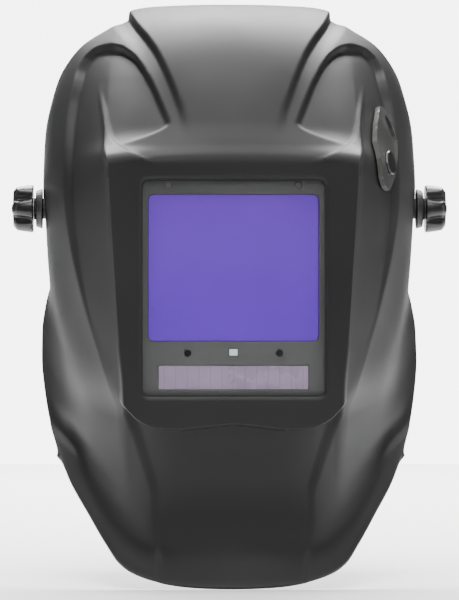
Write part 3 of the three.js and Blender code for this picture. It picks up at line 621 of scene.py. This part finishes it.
def window_cutter():
    """Window opening with a rolled front edge."""
    low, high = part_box("cover_lens")
    z = ((low + high) / 2).z
    w, h, r = WINDOW
    front = BEZEL_Y * PATTERN
    # place along Y, and how much the opening is wider there on each side
    profile = [(-0.145, 0.0026), (front + 0.0001, 0.0024), (front + 0.0004, 0.0014),
               (front + 0.0010, 0.0006), (front + 0.0018, 0.0001), (front + 0.0022, 0.0),
               (-0.105, 0.0)]
    outlines = [rounded_rect(w + 2 * g, h + 2 * g, r + g, y, z, arc=12) for y, g in profile]
    return cutter("window_cutter", outlines)


def seat_cutter():
    """Room for the window frame behind the bezel."""
    low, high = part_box("window_frame")
    w, h = high.x - low.x + SEAT_ROOM, high.z - low.z + SEAT_ROOM
    z = (low.z + high.z) / 2
    ends = (low.y - 0.0003, -0.1)
    return cutter("seat_cutter", [rounded_rect(w, h, SEAT_RADIUS, y, z) for y in ends])


def ring_at(x, t, radii):
    """Closed outline square to X, around the pivot line."""
    return np.stack([np.full(len(t), x), radii * np.cos(t), radii * np.sin(t)], -1)


def pivot_cutter():
    """One bore through both pivot holes."""
    t = np.linspace(0, 2 * math.pi, 48, endpoint=False)
    return cutter("pivot_cutter", [ring_at(x, t, PIVOT_BORE) for x in (-0.13, 0.13)])


# ---- knobs ------------------------------------------------------------------------
def lobed(n, lobes, r, groove, sharpness):
    """Angles and radii of a knob whose flat ribs stand between narrow grooves."""
    t = np.linspace(0, 2 * math.pi, n, endpoint=False)
    dip = (0.5 - 0.5 * np.cos(lobes * t)) ** sharpness
    return t, r - groove * dip


def add_knob(name, outlines, slot, body, node, sharp):
    obj = add_mesh(name, *rings(outlines))
    obj.data.validate()
    finish_piece(obj, slot, body, [node], sharp)


def tension_knob(side):
    """Six wedge ribs that narrow outwards, a chamfered end and a small nose."""
    low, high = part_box(f"tension_knob_{side}")
    outer_end = max(abs(low.x), abs(high.x))
    inner_end = min(abs(low.x), abs(high.x))
    r = (high.y - low.y) / 2
    sign = 1 if side == "left" else -1
    depth = outer_end - inner_end
    # share of the depth, share of the radius, groove depth, rib width power
    profile = [(0.0, 0.86, 0.0, 2.0), (0.0, 0.95, 0.0005, 2.0), (0.04, 0.99, 0.0012, 2.0),
               (0.10, 1.0, 0.0022, 1.6), (0.35, 0.985, 0.0030, 1.2), (0.6, 0.965, 0.0034, 0.9),
               (0.76, 0.945, 0.0034, 0.75), (0.82, 0.92, 0.0032, 0.7), (0.93, 0.80, 0.0022, 0.7),
               (0.97, 0.74, 0.0010, 0.7), (0.985, 0.55, 0.0, 1.0), (0.985, 0.22, 0.0, 1.0),
               (1.0, 0.2, 0.0, 1.0), (1.05, 0.16, 0.0, 1.0), (1.07, 0.08, 0.0, 1.0)]
    outlines = []
    for share, scale, groove, power in profile:
        t, radii = lobed(144, 6, r * scale, groove, power * 3)
        outlines.append(ring_at(sign * (inner_end + depth * share), t, radii))
    add_knob(f"tension_grip_{side}", outlines, "gloss_black", f"knob_{side}",
             f"tension_knob_{side}", 28)


def ratchet_knob():
    """Twelve-lobed grip with a dished end."""
    low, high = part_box("ratchet_knob")
    z = (low.z + high.z) / 2
    r = (high.x - low.x) / 2
    shaft = high.y - 0.0143  # where the thin shaft meets the grip
    # place along Y, share of the radius, groove depth
    profile = [(shaft - 0.0028, 0.24, 0), (shaft, 0.24, 0), (shaft, 0.86, 0),
               (shaft + 0.0006, 0.93, 0.0008), (shaft + 0.0018, 0.98, 0.0018),
               (shaft + 0.0095, 1.0, 0.0026),
               (high.y - 0.0022, 0.99, 0.0026), (high.y - 0.0006, 0.95, 0.0020),
               (high.y, 0.88, 0.0010), (high.y - 0.0002, 0.80, 0.0), (high.y - 0.0022, 0.70, 0.0),
               (high.y - 0.0026, 0.40, 0.0), (high.y - 0.0022, 0.05, 0.0)]
    outlines = []
    for y, scale, groove in profile:
        t, radii = lobed(192, 12, r * scale, groove, 2.0)
        x, up = radii * np.cos(t), z + radii * np.sin(t)
        outlines.append(np.stack([x, np.full(len(t), y), up], -1))
    add_knob("ratchet_grip", outlines, "black_plastic", "ratchet", "ratchet_knob", 30)


# ---- carried-over pieces ------------------------------------------------------------
BEVELS = {  # widths in millimetres
    "window_frame": 0.4, "adf_front_case": 0.35, "adf_rear_case": 0.3, "cartridge_retainer": 0.4,
    "control_housing": 0.8, "shade_button": 0.5, "sensitivity_button": 0.5, "delay_button": 0.5,
    "battery_cap_left": 0.5, "battery_cap_right": 0.5, "battery_left": 0.5, "battery_right": 0.5,
    "solar_cell": 0.15, "filter_glass": 0.25, "cover_lens": 0.3, "inner_lens": 0.2,
    "grind_switch": 0.5, "crown_bridge": 0.4, "ratchet_housing": 1.2,
    "side_bracket_left": 0.8, "side_bracket_right": 0.8,
    "pivot_bolt_left": 0.4, "pivot_bolt_right": 0.4,
    "pivot_block_left": 0.5, "pivot_block_right": 0.5,
    "spacer_cone_left": 0.5, "spacer_cone_right": 0.5,
    "shell_bush_left": 0.6, "shell_bush_right": 0.6,
    "grind_plate": 0.4, "grind_button": 0.4, "brow_band": 0.5, "rear_band": 0.5,
    "crown_strap_front": 0.4, "crown_strap_rear": 0.4, "led_light_pipe": 0.2, "lcd_readout": 0.2,
}


def dress_cad_nodes():
    """Every node that is still shown gets its material, and those listed in BEVELS rounded edges.
    """
    for name, obj in NODES.items():
        if obj.hide_render:
            continue
        obj.data.materials.clear()
        obj.data.materials.append(OWN_LOOK.get(name) or MATERIALS[SLOT_OF[name]])
        if name not in BEVELS:
            continue
        weld = obj.modifiers.new("weld", "WELD")
        weld.merge_threshold = 0.00001
        bevel = obj.modifiers.new("edges", "BEVEL")
        bevel.width = BEVELS[name] * MM
        bevel.segments = 2
        bevel.limit_method = "ANGLE"
        bevel.angle_limit = math.radians(38)
        bevel.harden_normals = False


# ---- soft pads ------------------------------------------------------------------------
SWELL_FRAMES = 20


def pad(node, name, body, shrink, cap, voxel):
    """A foam pad in sewn cloth, from its solid: drawn in, then swollen by pressure.

    No point moves further than cap, which keeps the pad clear of its neighbours.
    """
    obj = add_object(name, NODES[node].data.copy())
    remesh = obj.modifiers.new("remesh", "REMESH")
    remesh.mode, remesh.voxel_size = "VOXEL", voxel
    inset = obj.modifiers.new("inset", "DISPLACE")
    inset.strength, inset.mid_level = -shrink, 0
    apply_modifiers(obj)
    start = vertices(obj)
    swell(obj)
    moved = vertices(obj) - start
    length = np.linalg.norm(moved, axis=1)
    moved *= (np.minimum(length, cap) / np.maximum(length, 1e-9))[:, None]
    set_vertices(obj, start + moved)
    smoother = obj.modifiers.new("smoother", "SMOOTH")
    smoother.factor, smoother.iterations = 0.6, 3
    fine = obj.modifiers.new("fine", "SUBSURF")
    fine.levels = fine.render_levels = 1
    apply_modifiers(obj)
    finish_piece(obj, "foam", body, [node], 60)


def swell(obj):
    modifier = obj.modifiers.new("cloth", "CLOTH")
    settings = modifier.settings
    settings.use_pressure = True
    settings.uniform_pressure_force = 4
    settings.effector_weights.gravity = 0
    settings.quality = 5
    modifier.collision_settings.use_collision = False
    scene = bpy.context.scene
    for step in range(1, SWELL_FRAMES + 1):
        scene.frame_set(step)
    apply_modifiers(obj)
    scene.frame_set(1)


def vertices(obj):
    flat = np.empty(len(obj.data.vertices) * 3)
    obj.data.vertices.foreach_get("co", flat)
    return flat.reshape(-1, 3)


def set_vertices(obj, points):
    obj.data.vertices.foreach_set("co", points.astype(np.float32).ravel())
    obj.data.update()


# ---- camera, floor and light ------------------------------------------------------------
def add_camera():
    data = bpy.data.cameras.new("camera")
    data.sensor_fit = "VERTICAL"
    data.sensor_height = 36
    data.lens = 212.8
    data.clip_start, data.clip_end = 0.05, 50
    camera = add_object("camera", data)
    turn = math.radians(-1.1)  # the picture is taken a little from the wearer's right
    distance, height = 2.218, -0.057
    camera.location = (distance * math.sin(turn), -distance * math.cos(turn), height)
    camera.rotation_euler = (math.pi / 2, 0, turn)
    bpy.context.scene.camera = camera


def add_floor():
    """Pale paper floor under the chin, with its edge lost in the backdrop."""
    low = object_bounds()[0]
    z = low[2] - 0.5 * MM
    points = [(x, y, z) for y in (-0.6, 1.5) for x in (-1.4, 1.4)]
    floor = add_mesh("paper_floor", points, [(0, 1, 3, 2)])
    paper = Shader("paper", (0.9, 0.9, 0.9), 0.9)
    paper.tint(0.01, 3.0)
    floor.data.materials.append(paper.material)


def add_light(name, place, size, power, target=(0, -0.05, -0.05)):
    """A rectangular light of that size and power in watts, turned to its target."""
    data = bpy.data.lights.new(name, "AREA")
    data.shape = "RECTANGLE"
    data.size, data.size_y = size
    data.energy = power
    light = add_object(name, data)
    light.location = place
    gaze = Vector(target) - Vector(place)
    light.rotation_euler = gaze.to_track_quat("-Z", "Y").to_euler()


def add_world(low, high, behind):
    """Dim surround, a little brighter overhead, with a white backdrop far behind (+Y)."""
    world = bpy.data.worlds.new("studio")
    bpy.context.scene.world = world
    world.use_nodes = True
    tree = world.node_tree
    background = tree.nodes["Background"]
    background.inputs["Color"].default_value = (1, 1, 1, 1)
    coords = tree.nodes.new("ShaderNodeTexCoord")
    axes = tree.nodes.new("ShaderNodeSeparateXYZ")
    tree.links.new(coords.outputs["Generated"], axes.inputs[0])
    total = tree.nodes.new("ShaderNodeMath")
    # direction read, where the change starts and ends, strength before and after it
    spans = (("Z", 0.1, 1.0, low, high), ("Y", 0.955, 0.985, 0.0, behind))
    for slot, (axis, start, end, dark, bright) in enumerate(spans):
        span = tree.nodes.new("ShaderNodeMapRange")
        span.inputs["From Min"].default_value = start
        span.inputs["From Max"].default_value = end
        span.inputs["To Min"].default_value = dark
        span.inputs["To Max"].default_value = bright
        tree.links.new(axes.outputs[axis], span.inputs["Value"])
        tree.links.new(span.outputs["Result"], total.inputs[slot])
    tree.links.new(total.outputs[0], background.inputs["Strength"])


# ---- build --------------------------------------------------------------------------------
add_camera()
build_shell()
for side in ("left", "right"):
    tension_knob(side)
ratchet_knob()
pad("sweatband", "sweatband_pad", "headgear", 0.0012, 0.002, 0.003)
pad("nape_pad", "nape_cushion", "rear_cradle", 0.002, 0.004, 0.004)
dress_cad_nodes()
add_floor()
add_light("overhead", (0, -0.35, 1.25), (1.2, 0.8), 34)
add_light("front", (0, -2.4, 1.3), (1.4, 0.7), 33)
add_light("side_left", (-1.4, -0.5, 0.25), (0.5, 1.2), 3.5)
add_light("side_right", (1.4, -0.5, 0.25), (0.5, 1.2), 3.5)
add_light("floor", (0, 1.15, 1.3), (1.8, 1.0), 165, target=(0, 1.1, -0.23))
add_light("strip_right", (1.3, -0.32, 0.0), (0.3, 1.0), 2.5, target=(-0.06, -0.13, -0.05))
add_world(0.05, 0.10, 6.0)
